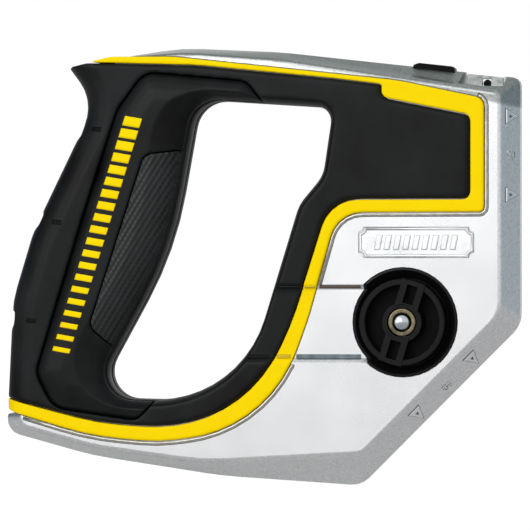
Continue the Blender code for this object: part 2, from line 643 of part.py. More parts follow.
# --- latch -------------------------------------------------------------------------------------
def coil(name, centre, axis, radius, wire, turns, span, steps=9, sides=5, surface="spring_steel"):
    """Helical spring from span[0] to span[1] along axis, closed by flat ends."""
    bm = bmesh.new()
    rings = []
    up = Vector(axis)
    first = up.orthogonal().normalized()
    second = up.cross(first)
    total = turns * steps
    for step in range(total + 1):
        angle = 2 * math.pi * step / steps
        out = first * math.cos(angle) + second * math.sin(angle)
        height = span[0] + wire + (span[1] - span[0] - 2 * wire) * step / total
        centre_point = Vector(centre) + out * radius + up * height
        ring = []
        for corner in range(sides):
            turn = 2 * math.pi * corner / sides
            offset = out * math.cos(turn) * wire + up * math.sin(turn) * wire
            ring.append(bm.verts.new((centre_point + offset) * MM))
        rings.append(ring)
    for lower, upper in zip(rings, rings[1:]):
        for corner in range(sides):
            following = (corner + 1) % sides
            bm.faces.new((lower[corner], lower[following], upper[following], upper[corner]))
    bm.faces.new(rings[0])
    bm.faces.new(rings[-1])
    return smooth(finish_mesh(name, bm, surface))


def across_prism(name, corners, half_width, surface):
    """Prism through both halves, from -half_width to half_width."""
    return prism(name, corners, -half_width, half_width, FAR, surface)


def latch():
    button = across_prism("release_button", BUTTON, BUTTON_HALF_WIDTH, "black_plastic")
    smooth(button)
    coil("button_spring", (SPRING_X, 0, 0), (0, 0, 1), SPRING_RADIUS, SPRING_WIRE, SPRING_TURNS, SPRING_Z)

    pawl = across_prism("latch_pawl", PAWL, PAWL_HALF_WIDTH, "spring_steel")
    cut(pawl, rod("pivot_hole", PAWL_PIVOT, PIN_RADIUS + FIT_GAP, (-5, 5), FAR, segments=16))
    smooth(set_origin(pawl, PAWL_PIVOT[0], 0, PAWL_PIVOT[1]))
    smooth(rod("pawl_pin", PAWL_PIVOT, PIN_RADIUS, (-4.3, 4.3), FAR, "bright_steel", 16))
    coil("pawl_spring", (PAWL_PIVOT[0], 0, PAWL_PIVOT[1]), (0, 1, 0), 2.6, 0.4, 2, (1.8, 3.9))

    catch = across_prism("blade_catch", CATCH, CATCH_HALF_WIDTH, "bright_steel")
    x, z, half = CATCH_WINDOW
    cut(catch, block("window", (x - half, x + half), (-5, 5), (z - half, z + half), FAR))


# --- fasteners and label -----------------------------------------------------------------------
def fasteners():
    places = ("upper_rear", "lower_rear", "panel_upper", "panel_lower", "heel", "front")
    profile = [(0, -5.2), (1.2, -5.2), (1.4, -4.9), (1.4, 5.5), (3.0, 5.5), (3.0, 7.2), (2.4, 7.9),
               (0, 7.9)]
    for place, at in zip(places, BODY_SCREWS):
        screw = turned(place + "_screw", profile, at, FAR, "bright_steel", 12)
        cut(screw, rod("socket", at, 1.5, (6.3, 20), FAR, segments=6))
        smooth(screw)
    for place, at in zip(("lower", "upper"), LOCATING_DOWELS):
        smooth(rod(place + "_locating_dowel", at, 1.5, (-4, 4), FAR, "bright_steel", 16))


clear_scene()
for side in (NEAR, FAR):
    casting(side)
    trim_band(side)
    grip_cover(side)
    palm_insert(side)
    grip_pad(side)
clamp()
latch()
fasteners()
label_solid("label_plate", (FACE_DEPTH - 0.5, FACE_DEPTH + 0.3), 0, NEAR)
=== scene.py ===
"""Looks of the handsaw handle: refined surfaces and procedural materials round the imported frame."""

import json
import math

import bmesh
import bpy
from mathutils import Matrix, Vector
from mathutils.bvhtree import BVHTree


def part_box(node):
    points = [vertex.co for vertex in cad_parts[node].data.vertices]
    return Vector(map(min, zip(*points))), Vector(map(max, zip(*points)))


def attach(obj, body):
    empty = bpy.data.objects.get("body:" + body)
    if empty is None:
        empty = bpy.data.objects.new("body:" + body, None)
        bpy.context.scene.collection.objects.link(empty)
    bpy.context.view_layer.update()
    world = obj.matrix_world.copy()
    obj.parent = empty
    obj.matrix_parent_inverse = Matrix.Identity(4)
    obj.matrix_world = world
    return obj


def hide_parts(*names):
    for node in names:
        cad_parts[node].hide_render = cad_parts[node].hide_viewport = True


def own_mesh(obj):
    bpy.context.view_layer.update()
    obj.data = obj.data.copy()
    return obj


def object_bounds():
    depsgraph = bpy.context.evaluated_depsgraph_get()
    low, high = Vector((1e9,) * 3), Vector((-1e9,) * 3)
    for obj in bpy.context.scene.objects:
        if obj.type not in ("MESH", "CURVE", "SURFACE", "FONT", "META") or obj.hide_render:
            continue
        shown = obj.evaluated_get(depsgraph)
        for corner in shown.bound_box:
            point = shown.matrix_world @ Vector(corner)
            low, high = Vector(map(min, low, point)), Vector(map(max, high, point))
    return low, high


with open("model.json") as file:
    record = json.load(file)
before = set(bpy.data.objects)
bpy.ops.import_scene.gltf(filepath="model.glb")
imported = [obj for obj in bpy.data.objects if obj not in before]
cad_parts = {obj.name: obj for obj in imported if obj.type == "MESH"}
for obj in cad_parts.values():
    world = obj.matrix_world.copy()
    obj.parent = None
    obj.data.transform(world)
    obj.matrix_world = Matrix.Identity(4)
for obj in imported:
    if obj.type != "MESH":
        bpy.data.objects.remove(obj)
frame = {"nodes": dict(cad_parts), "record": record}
CAD_LOW, CAD_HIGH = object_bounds()
MM = 0.001

# --- view --------------------------------------------------------------------------------------
VIEW_AZIMUTH = math.radians(9.0)
VIEW_ELEVATION = math.radians(0.0)
VIEW_DISTANCE = 2.2
FRAME_WIDTH = 0.1895            # width of the view at the target
SENSOR = 36.0
TARGET = Vector((0.0010, 0.0, 0.0785))
FLOOR_GAP = 0.0002
FLOOR_RADIUS = 4.0
FLOOR_GLOW = (0.36, 0.94)       # as the object sees it, and as the camera sees it
FRONT = (0.96, 0.965, 0.975)      # light from each direction, seen by the object
BEHIND = (0.30, 0.32, 0.33)
RIGHT = (0.28, 0.36, 0.41)
LEFT = (0.05, 0.08, 0.13)
ABOVE = (0.46, 0.49, 0.49)
BELOW = (0.46, 0.47, 0.43)


# --- sizes -------------------------------------------------------------------------------------
FACE_SHARE = 0.985              # a face this square to Y is polished
CAST_EDGE = 0.35 * MM           # rounding of the casting's edges
TRIM_VOXEL = 0.36 * MM
SKIN_VOXELS = {"grip_cover": 0.61 * MM, "palm_insert": 0.46 * MM, "grip_pad": 0.34 * MM}
DIAMOND_PITCH = 1.8 * MM
DIAMOND_DEPTH = 0.45 * MM
PRINT_ROOM = 0.9955             # the palm drawn in by the thickness of the printed bars
PRINT_LIFT = 0.05 * MM
PRINT_THICKNESS = 0.1 * MM
BAR_COUNT = 20
BAR_LENGTH = 6.4 * MM

RIM_PROFILE = [(0.85, 11.5), (0.85, 12.2), (1.05, 12.45), (1.45, 12.4), (1.8, 12.12), (1.9, 11.9)]
# The groove is a thin dark strip laid just proud of the face: painted shadow.
GROOVE_SHADE_PROFILE = [(1.9, 11.9), (1.9, 12.03), (2.2, 12.03), (2.2, 11.9)]
RIM_REACH = 2.6 * MM            # how far past the overmould there has to be metal for a rim
METAL_DEPTH = 11.8 * MM

ARROW_SIZE = 3.3                # mm, as are the profiles
ARROW_SHAPE = ((-1.0, -0.8), (1.15, 0.0), (-1.0, 0.8))
# The outline is a thin dark edge under each arrow, painted as its shadow; the dot is a dark spot painted as
# the shade in the arrow's dimple.
ARROW_SHADOW = ((-0.3, -0.2), (-0.3, 0.03), (0.5, 0.03))
ARROW_BODY = ((0.1, -0.15), (0.1, 0.1), (0.45, 0.4), (0.7, 0.4), (0.95, 0.2), (1.8, 0.2))
ARROW_DIMPLE_SHADE = ((2.5, 0.1), (2.5, 0.23), (2.9, 0.23))
ARROW_DIMPLE_SHADE_BACK = 0.5 * MM
FRONT_DROPS = (24.6, 38.4, 52.4)        # marks on the front strip, down from the top
SLANT_SHIFTS = (19.3, 5.5, -8.4)        # marks on the slanted strip, from its middle

CHANNEL_MIDDLE = 58.2 * MM
CHANNEL_HALF = 12.4 * MM
CHANNEL_START = -10 * MM
CHANNEL_STEP = 0.4 * MM
CHANNEL_STEPS = 125
DISH_MIDDLE = (52.4 * MM, 58.2 * MM)
DISH_REACH = 19.5 * MM
LIP_WIDTH = 1.0 * MM
UPPER_LIP_SHARE = 0.55

SPINE_STEPS = ((-58.0, 127.0), (-72.4, 93.8), (-81.6, 58.6))
LABEL_RIDGE = [(-0.2, -0.1), (-0.25, 0.2), (-0.45, 0.32), (-0.7, 0.2), (-0.8, -0.1)]
LABEL_BARS = 9
# place of the dark cone painted as shade inside the catch window
CATCH_WINDOW_SHADE = (0.081, 0, 0.143)
KNOB_FLOOR = -14.2 * MM         # what lies deeper in the knob is darker: painted shade in its hollows
SIDES = {"near": -1, "far": 1}


# --- camera, light and floor -------------------------------------------------------------------
def add_camera():
    data = bpy.data.cameras.new("camera")
    data.sensor_width = SENSOR
    data.lens = SENSOR * VIEW_DISTANCE / FRAME_WIDTH
    camera = bpy.data.objects.new("camera", data)
    bpy.context.scene.collection.objects.link(camera)
    away = Vector((math.sin(VIEW_AZIMUTH) * math.cos(VIEW_ELEVATION),
                   -math.cos(VIEW_AZIMUTH) * math.cos(VIEW_ELEVATION), math.sin(VIEW_ELEVATION)))
    camera.location = TARGET + away * VIEW_DISTANCE
    camera.rotation_euler = (-away).to_track_quat("-Z", "Y").to_euler()
    bpy.context.scene.camera = camera


def smooth_range(nodes, links, value, low, high, out_low=0.0, out_high=1.0):
    node = nodes.new("ShaderNodeMapRange")
    node.interpolation_type = "SMOOTHSTEP"
    for name, amount in (("From Min", low), ("From Max", high), ("To Min", out_low), ("To Max", out_high)):
        node.inputs[name].default_value = amount
    links.new(value, node.inputs["Value"])
    return node.outputs["Result"]


def mixed(nodes, links, factor, first, second):
    """Colour mix; first and second are a colour or a socket."""
    node = nodes.new("ShaderNodeMix")
    node.data_type = "RGBA"
    links.new(factor, node.inputs["Factor"])
    for index, source in ((6, first), (7, second)):
        if isinstance(source, tuple):
            node.inputs[index].default_value = (*source, 1.0)
        else:
            links.new(source, node.inputs[index])
    return node.outputs[2]


def add_world():
    """White to the eye. For light: bright in front, grey behind, bluer to the right, warmer below."""
    world = bpy.data.worlds.new("studio")
    bpy.context.scene.world = world
    world.use_nodes = True
    nodes, links = world.node_tree.nodes, world.node_tree.links
    nodes.clear()
    coordinate = nodes.new("ShaderNodeTexCoord")
    split = nodes.new("ShaderNodeSeparateXYZ")
    links.new(coordinate.outputs["Generated"], split.inputs[0])
    right = smooth_range(nodes, links, split.outputs["X"], 0.45, 0.95)
    left = smooth_range(nodes, links, split.outputs["X"], -0.45, -0.9)
    below = smooth_range(nodes, links, split.outputs["Z"], -0.45, -0.8)
    above = smooth_range(nodes, links, split.outputs["Z"], 0.35, 0.85)
    behind = mixed(nodes, links, right, BEHIND, RIGHT)
    behind = mixed(nodes, links, left, behind, LEFT)
    behind = mixed(nodes, links, above, behind, ABOVE)
    behind = mixed(nodes, links, below, behind, BELOW)
    front = smooth_range(nodes, links, split.outputs["Y"], -0.10, -0.55)
    far = smooth_range(nodes, links, split.outputs["Y"], 0.75, 0.97)
    colour = mixed(nodes, links, front, behind, FRONT)
    colour = mixed(nodes, links, far, colour, FRONT)
    light = nodes.new("ShaderNodeBackground")
    links.new(colour, light.inputs["Color"])
    seen = nodes.new("ShaderNodeBackground")
    seen.inputs["Color"].default_value = (1, 1, 1, 1)
    path = nodes.new("ShaderNodeLightPath")
    mix = nodes.new("ShaderNodeMixShader")
    links.new(path.outputs["Is Camera Ray"], mix.inputs[0])
    links.new(light.outputs[0], mix.inputs[1])
    links.new(seen.outputs[0], mix.inputs[2])
    output = nodes.new("ShaderNodeOutputWorld")
    links.new(mix.outputs[0], output.inputs[0])


def add_area_light(name, place, size, watts, colour=(1, 1, 1)):
    data = bpy.data.lights.new(name, "AREA")
    data.shape = "RECTANGLE"
    data.size, data.size_y = size
    data.energy = watts
    data.color = colour
    light = bpy.data.objects.new(name, data)
    bpy.context.scene.collection.objects.link(light)
    light.location = place
    light.rotation_euler = (TARGET - Vector(place)).to_track_quat("-Z", "Y").to_euler()


def add_floor():
    bm = bmesh.new()
    bmesh.ops.create_circle(bm, cap_ends=True, segments=64, radius=FLOOR_RADIUS)
    floor = object_from(bm, "floor")
    floor.location.z = CAD_LOW[2] - FLOOR_GAP
    surface, nodes, links, shader = principled("floor_white", (0.12, 0.12, 0.12), 0.9, 0.0)
    shader.inputs["Emission Color"].default_value = (1, 1, 1, 1)
    path = nodes.new("ShaderNodeLightPath")
    links.new(smooth_range(nodes, links, path.outputs["Is Camera Ray"], 0, 1, *FLOOR_GLOW),
              shader.inputs["Emission Strength"])
    floor.data.materials.append(surface)


# --- materials ---------------------------------------------------------------------------------
def principled(name, colour, roughness, metallic):
    surface = bpy.data.materials.new(name)
    surface.use_nodes = True
    nodes, links = surface.node_tree.nodes, surface.node_tree.links
    shader = nodes["Principled BSDF"]
    shader.inputs["Base Color"].default_value = (*colour, 1.0)
    shader.inputs["Roughness"].default_value = roughness
    shader.inputs["Metallic"].default_value = metallic
    surface.diffuse_color = (*colour, 1.0)
    return surface, nodes, links, shader


def noise(nodes, links, scale, detail=3.0, roughness=0.55, stretch=None):
    """Noise in object space, at a scale in features per metre."""
    coordinate = nodes.new("ShaderNodeTexCoord")
    texture = nodes.new("ShaderNodeTexNoise")
    texture.inputs["Scale"].default_value = scale
    texture.inputs["Detail"].default_value = detail
    texture.inputs["Roughness"].default_value = roughness
    source = coordinate.outputs["Object"]
    if stretch:
        mapping = nodes.new("ShaderNodeMapping")
        mapping.inputs["Scale"].default_value = stretch
        links.new(source, mapping.inputs["Vector"])
        source = mapping.outputs["Vector"]
    links.new(source, texture.inputs["Vector"])
    return texture.outputs["Fac"]


def spread(nodes, links, value, low, high, from_low=0.3, from_high=0.7):
    """Map a noise value to a range."""
    node = nodes.new("ShaderNodeMapRange")
    node.inputs["From Min"].default_value = from_low
    node.inputs["From Max"].default_value = from_high
    node.inputs["To Min"].default_value = low
    node.inputs["To Max"].default_value = high
    links.new(value, node.inputs["Value"])
    return node.outputs["Result"]


def tint(nodes, links, value, dark, light, from_low=0.3, from_high=0.7):
    """Colour between two tones by a noise value."""
    ramp = nodes.new("ShaderNodeValToRGB")
    ramp.color_ramp.elements[0].position = from_low
    ramp.color_ramp.elements[0].color = (*dark, 1)
    ramp.color_ramp.elements[1].position = from_high
    ramp.color_ramp.elements[1].color = (*light, 1)
    links.new(value, ramp.inputs["Fac"])
    return ramp.outputs["Color"]


def bump(nodes, links, shader, height, strength, distance):
    node = nodes.new("ShaderNodeBump")
    node.inputs["Strength"].default_value = strength
    node.inputs["Distance"].default_value = distance
    links.new(height, node.inputs["Height"])
    links.new(node.outputs["Normal"], shader.inputs["Normal"])


def crown_shade_mask(nodes, links):
    """Mask of painted shade: 1 along the top of the casting, above the overmould, and 0 elsewhere."""
    split = nodes.new("ShaderNodeSeparateXYZ")
    links.new(nodes.new("ShaderNodeTexCoord").outputs["Object"], split.inputs[0])
    tilted = nodes.new("ShaderNodeMath")
    tilted.operation = "MULTIPLY_ADD"
    tilted.inputs[1].default_value = 0.2
    links.new(split.outputs["X"], tilted.inputs[0])
    links.new(split.outputs["Z"], tilted.inputs[2])
    share = nodes.new("ShaderNodeMath")
    share.operation = "MAXIMUM"
    links.new(smooth_range(nodes, links, split.outputs["Z"], 0.1395, 0.1415), share.inputs[0])
    links.new(smooth_range(nodes, links, tilted.outputs[0], 0.1522, 0.1538), share.inputs[1])
    return share.outputs[0]


def polished_aluminium():
    surface, nodes, links, shader = principled("polished_aluminium", (0.95, 0.955, 0.96), 0.24, 1.0)
    cloud = noise(nodes, links, 60, 4)
    colour = tint(nodes, links, cloud, (0.885, 0.895, 0.905), (0.915, 0.92, 0.93))
    grain = noise(nodes, links, 500, 5, 0.7)
    crown_shade_tone = tint(nodes, links, grain, (0.27, 0.29, 0.29), (0.46, 0.47, 0.45), 0.35, 0.65)
    # Painted shade: a darker, mottled metal colour along the top of the casting, set by position and not by
    # shape.
    links.new(mixed(nodes, links, crown_shade_mask(nodes, links), colour, crown_shade_tone), shader.inputs["Base Color"])
    links.new(spread(nodes, links, cloud, 0.22, 0.27), shader.inputs["Roughness"])
    bump(nodes, links, shader, noise(nodes, links, 900, 2, 0.5, (1, 1, 0.12)), 0.05, 0.0001)
    return surface


def cast_aluminium():
    surface, nodes, links, shader = principled("cast_aluminium", (0.82, 0.83, 0.84), 0.32, 1.0)
    mottle = noise(nodes, links, 1100, 6, 0.7)
    colour = tint(nodes, links, mottle, (0.70, 0.73, 0.74), (0.93, 0.93, 0.93), 0.35, 0.65)
    crown_shade_tone = tint(nodes, links, mottle, (0.31, 0.34, 0.34), (0.50, 0.51, 0.49), 0.35, 0.65)
    # Painted shade: a darker, mottled metal colour along the top of the casting, set by position and not by
    # shape.
    links.new(mixed(nodes, links, crown_shade_mask(nodes, links), colour, crown_shade_tone), shader.inputs["Base Color"])
    links.new(spread(nodes, links, mottle, 0.26, 0.38), shader.inputs["Roughness"])
    bump(nodes, links, shader, noise(nodes, links, 1500, 3, 0.6), 0.18, 0.0002)
    return surface


def yellow_elastomer():
    surface, nodes, links, shader = principled("yellow_elastomer", (1.0, 0.70, 0.0), 0.45, 0.0)
    shader.inputs["Specular IOR Level"].default_value = 0.04
    cloud = noise(nodes, links, 90, 3)
    links.new(tint(nodes, links, cloud, (1.0, 0.70, 0.0), (1.0, 0.74, 0.0005)), shader.inputs["Base Color"])
    bump(nodes, links, shader, noise(nodes, links, 5200, 2), 0.08, 0.00005)
    return surface


def black_elastomer(name, specular):
    surface, nodes, links, shader = principled(name, (0.006, 0.007, 0.007), 0.42, 0.0)
    shader.inputs["Specular IOR Level"].default_value = specular
    cloud = noise(nodes, links, 38, 4)
    links.new(tint(nodes, links, cloud, (0.0018, 0.0018, 0.0014), (0.0085, 0.0105, 0.011), 0.35, 0.65),
              shader.inputs["Base Color"])
    links.new(spread(nodes, links, cloud, 0.36, 0.5), shader.inputs["Roughness"])
    bump(nodes, links, shader, noise(nodes, links, 4200, 2), 0.12, 0.00006)
    return surface


def black_nylon(name, colour, specular):
    surface, nodes, links, shader = principled(name, colour, 0.36, 0.0)
    shader.inputs["Specular IOR Level"].default_value = specular
    grain = noise(nodes, links, 260, 4)
    links.new(spread(nodes, links, grain, 0.28, 0.44), shader.inputs["Roughness"])
    bump(nodes, links, shader, noise(nodes, links, 3000, 2), 0.1, 0.00006)
    return surface


def metal(name, dark, light, roughness, scale):
    surface, nodes, links, shader = principled(name, light, roughness, 1.0)
    cloud = noise(nodes, links, scale, 3)
    links.new(tint(nodes, links, cloud, dark, light), shader.inputs["Base Color"])
    links.new(spread(nodes, links, cloud, roughness * 0.8, roughness * 1.2), shader.inputs["Roughness"])
    bump(nodes, links, shader, noise(nodes, links, scale * 6, 2), 0.06, 0.00005)
    return surface


# --- mesh tools --------------------------------------------------------------------------------
def object_from(bm, name):
    bmesh.ops.recalc_face_normals(bm, faces=bm.faces)
    mesh = bpy.data.meshes.new(name)
    bm.to_mesh(mesh)
    bm.free()
    made = bpy.data.objects.new(name, mesh)
    bpy.context.scene.collection.objects.link(made)
    return made


def copy_of(node, name):
    """Welded copy of a CAD node's mesh."""
    bm = bmesh.new()
    bm.from_mesh(frame["nodes"][node].data)
    bmesh.ops.remove_doubles(bm, verts=bm.verts, dist=2e-6)
    return object_from(bm, name)


def apply_modifiers(made):
    graph = bpy.context.evaluated_depsgraph_get()
    result = bpy.data.meshes.new_from_object(made.evaluated_get(graph))
    made.modifiers.clear()
    made.data = result


def softened(node, name, voxel, passes):
    """Moulded surface: the node remeshed finely, with every edge eased."""
    made = copy_of(node, name)
    step = made.modifiers.new("voxels", "REMESH")
    step.mode = "VOXEL"
    step.voxel_size = voxel
    ease = made.modifiers.new("ease", "SMOOTH")
    ease.factor = 0.5
    ease.iterations = passes
    apply_modifiers(made)
    made.data.shade_smooth()
    return made


def machined(node, name, width):
    """Metal surface: flat faces joined up and every sharp edge rounded by a width."""
    made = copy_of(node, name)
    bm = bmesh.new()
    bm.from_mesh(made.data)
    bmesh.ops.dissolve_limit(bm, angle_limit=math.radians(0.6), verts=bm.verts, edges=bm.edges)
    bm.to_mesh(made.data)
    bm.free()
    made.data.shade_smooth()
    step = made.modifiers.new("edges", "BEVEL")
    step.width = width
    step.segments = 3
    step.limit_method = "ANGLE"
    step.angle_limit = math.radians(28)
    step.harden_normals = False
    weigh = made.modifiers.new("weigh", "WEIGHTED_NORMAL")
    weigh.keep_sharp = True
    apply_modifiers(made)
    return made


def dress(made, surface, body, nodes=()):
    made.data.materials.clear()
    made.data.materials.append(surface)
    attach(made, body)
    if nodes:
        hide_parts(*nodes)


def tree_of(made):
    bm = bmesh.new()
    bm.from_mesh(made.data)
    tree = BVHTree.FromBMesh(bm)
    bm.free()
    return tree


def seen_at(tree, x, z, side):
    """The point of a piece that is seen first from one side, or None."""
    return tree.ray_cast(Vector((x, side * 0.05, z)), Vector((0, -side, 0)))[0]


def add_rings(bm, rings):
    """Faces between rings of vertices, and a cap at each end."""
    for ring, following in zip(rings, rings[1:]):
        for index in range(len(ring)):
            last = (index + 1) % len(ring)
            bm.faces.new((ring[index], ring[last], following[last], following[index]))
    bm.faces.new(rings[0])
    bm.faces.new(rings[-1][::-1])


def smoothstep(value, low, high):
    share = min(max((value - low) / (high - low), 0.0), 1.0)
    return share * share * (3 - 2 * share)


# --- lines round a flat face -------------------------------------------------------------------
def outer_loops(made, side):
    """Edge loops round the outermost flat face of a piece, as lists of points in order."""
    bm = bmesh.new()
    bm.from_mesh(made.data)
    depth = max(side * vert.co.y for vert in bm.verts)
    inside = {face for face in bm.faces
              if face.normal.y * side > 0.99 and side * face.calc_center_median().y > depth - 0.05 * MM}
    following = {}
    for face in inside:
        for loop in face.loops:
            if not any(other in inside for other in loop.edge.link_faces if other is not face):
                following[loop.vert.index] = (loop.vert.co.copy(), loop.link_loop_next.vert.index)
    bm.free()
    loops = []
    while following:
        start = index = min(following)
        points = []
        while index in following:
            point, index_next = following.pop(index)
            points.append(point)
            index = index_next
        if index == start:
            loops.append(points)
    return loops


def edge_normals(points):
    """Outward normal of each edge of a closed loop."""
    area = sum(a.x * b.z - b.x * a.z for a, b in zip(points, points[1:] + points[:1]))
    turn = 1 if area > 0 else -1
    normals = []
    for point, following in zip(points, points[1:] + points[:1]):
        edge = following - point
        normals.append(Vector((edge.z, 0, -edge.x)).normalized() * turn)
    return normals


def mitre(before, after):
    joint = (before + after).normalized()
    return joint / max(joint.dot(after), 0.5)


def closed_run(points):
    """Points with outward vectors, all round a closed loop."""
    count = len(points)
    normals = edge_normals(points)
    return [(points[index % count], mitre(normals[(index - 1) % count], normals[index % count]))
            for index in range(count + 1)]


def facing_runs(points, metal, side):
    """The runs of a closed loop whose outward side lies over metal."""
    count = len(points)
    normals = edge_normals(points)
    over = []
    for index in range(count):
        middle = (points[index] + points[(index + 1) % count]) / 2 + normals[index] * RIM_REACH
        hit = seen_at(metal, middle.x, middle.z, side)
        over.append(hit is not None and side * hit.y > METAL_DEPTH)
    runs, run = [], []
    first = over.index(False) if False in over else 0
    for step in range(count):
        index = (first + step) % count
        if over[index]:
            run.append(index)
        elif run:
            runs.append(run)
            run = []
    if run:
        runs.append(run)
    strips = []
    for run in runs:
        before = [normals[run[0]]] + [normals[index] for index in run]
        after = [normals[index] for index in run] + [normals[run[-1]]]
        places = run + [(run[-1] + 1) % count]
        strips.append([(points[index], mitre(*pair)) for index, *pair in zip(places, before, after)])
    return [strip for strip in strips if len(strip) > 2]


def swept(name, strips, profile, side):
    """Bands along runs of (point, outward vector) through a profile of (offset, depth)."""
    bm = bmesh.new()
    for strip in strips:
        rings = []
        for point, outward in strip:
            rings.append([bm.verts.new((point.x + outward.x * offset * MM, side * depth * MM,
                                        point.z + outward.z * offset * MM)) for offset, depth in profile])
        add_rings(bm, rings)
    made = object_from(bm, name)
    made.data.shade_smooth()
    return made


# --- casting -----------------------------------------------------------------------------------
def polish_side_faces(made):
    """Give the flat side faces the polished finish and leave the rest as cast."""
    made.data.materials.append(POLISHED)
    for polygon in made.data.polygons:
        if abs(polygon.normal.y) > FACE_SHARE:
            polygon.material_index = 1


def strip_frame(casting, wanted, along):
    """Frame on the largest flat face nearest a wanted normal: across, along and outward."""
    wanted = wanted.normalized()
    face = max((p for p in casting.data.polygons if p.normal.dot(wanted) > 0.9), key=lambda p: p.area)
    outward = face.normal.copy()
    up = (along - outward * along.dot(outward)).normalized()
    return Matrix((up.cross(outward), up, outward)).transposed(), face.center.copy()


def arrow_mark(name, axes, place, profile, surface):
    """Raised triangle that points across the strip; profile holds (inset, height) from the edge in."""
    bm = bmesh.new()
    rings = []
    for inset, height in profile:
        size = ARROW_SIZE - inset
        rings.append([bm.verts.new(axes @ (Vector((x * size, y * size, height)) * MM) + place)
                      for x, y in ARROW_SHAPE])
    add_rings(bm, rings)
    dress(object_from(bm, name), surface, "handle")


def number_mark(name, text, axes, place, size, grow, lift, surface):
    """Digits raised on the strip, thickened by grow."""
    curve = bpy.data.curves.new(name, "FONT")
    curve.body = text
    curve.size = size
    curve.extrude = 0.14 * MM
    curve.offset = grow
    curve.align_x, curve.align_y = "CENTER", "CENTER"
    source = bpy.data.objects.new(name + "_source", curve)
    bpy.context.scene.collection.objects.link(source)
    bpy.context.view_layer.update()
    mesh = bpy.data.meshes.new_from_object(source.evaluated_get(bpy.context.evaluated_depsgraph_get()))
    bpy.data.objects.remove(source, do_unlink=True)
    mesh.transform(Matrix.Translation(place + axes @ Vector((0, 0, lift))) @ axes.to_4x4())
    made = bpy.data.objects.new(name, mesh)
    bpy.context.scene.collection.objects.link(made)
    dress(made, surface, "handle")


def angle_marks(name, text, axes, places, side):
    """Triangle, number, triangle down a strip, each on a thin dark outline painted as the shadow it casts,
    with a dark dot painted as the shade in each triangle's dimple.
    """
    pointing = axes if side < 0 else Matrix((-axes.col[0], -axes.col[1], axes.col[2])).transposed()
    for index in (0, 2):
        place = places[index]
        arrow_mark(f"{name}_arrow_shadow_{index}", pointing, place, ARROW_SHADOW, MARK_SHADOW)
        arrow_mark(f"{name}_arrow_{index}", pointing, place, ARROW_BODY, PLATE)
        dot = place - pointing.col[0] * ARROW_DIMPLE_SHADE_BACK
        arrow_mark(f"{name}_arrow_dimple_shade_{index}", pointing, dot, ARROW_DIMPLE_SHADE, MARK_SHADOW)
    number_mark(name + "_angle_shadow", text, axes, places[1], 4.8 * MM, 0.13 * MM, -0.1 * MM, MARK_SHADOW)
    number_mark(name + "_angle", text, axes, places[1], 5.0 * MM, 0, 0.12 * MM, MARK)


def casting_pieces(word, side):
    node = word + "_casting"
    casting = machined(node, node + "_surface", CAST_EDGE)
    dress(casting, CAST, "handle", [node])
    polish_side_faces(casting)

    tall, centre = strip_frame(casting, Vector((0.8, side * 0.57, 0)), Vector((0, 0, 1)))
    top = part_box(node)[1].z
    places = [Vector((centre.x, centre.y, top - drop * MM)) for drop in FRONT_DROPS]
    angle_marks(word + "_front", "90", tall, places, side)
    slope = Vector((1, 0, 1)).normalized()
    slant, centre = strip_frame(casting, Vector((0.56, side * 0.61, -0.56)), slope)
    places = [centre + slope * shift * MM for shift in SLANT_SHIFTS]
    angle_marks(word + "_slant", "45", slant, places, side)
    return casting


# --- overmould ---------------------------------------------------------------------------------
def knurl(made, side):
    """Small diamonds pressed into the outward side of the pad."""
    outwards = [smoothstep(vertex.normal.y * side, 0.15, 0.6) for vertex in made.data.vertices]
    for vertex, outward in zip(made.data.vertices, outwards):
        along = 2 * math.pi * (vertex.co.x + 0.62 * vertex.co.z) / DIAMOND_PITCH
        across = 2 * math.pi * (0.9 * vertex.co.x - 0.55 * vertex.co.z) / DIAMOND_PITCH
        height = 0.5 + 0.25 * (math.cos(along) + math.cos(across))
        vertex.co.y -= side * DIAMOND_DEPTH * outward * (1 - height)
    made.data.update()


def overmould_pieces(word, side):
    """The yellow band and the black skins of one side; returns the black ones by part."""
    node = word + "_trim_band"
    dress(softened(node, node + "_surface", TRIM_VOXEL, 4), YELLOW, "handle", [node])
    skins = {}
    for part, voxel in SKIN_VOXELS.items():
        node = f"{word}_{part}"
        skin = skins[part] = softened(node, node + "_surface", voxel, 8)
        if part == "grip_pad":
            knurl(skin, side)
        if part == "palm_insert":
            skin.data.transform(Matrix.Diagonal((1.0, PRINT_ROOM, 1.0, 1.0)))
        dress(skin, PAD if part == "grip_pad" else BLACK, "handle", [node])
    return skins


def rim_pieces(word, side, casting):
    """Raised metal rim, coloured darker than the casting as painted shade, and a thin dark strip painted as
    the shadow in the groove round the overmould.
    """
    metal_tree = tree_of(casting)
    outline = copy_of(word + "_trim_band", word + "_trim_outline")
    runs = []
    for loop in outer_loops(outline, side):
        runs += facing_runs(loop, metal_tree, side)
    bpy.data.objects.remove(outline, do_unlink=True)
    dress(swept(word + "_casting_rim", runs, RIM_PROFILE, side), RIM_SHADED, "handle")
    dress(swept(word + "_casting_groove", runs, GROOVE_SHADE_PROFILE, side), SEAM_SHADOW, "handle")


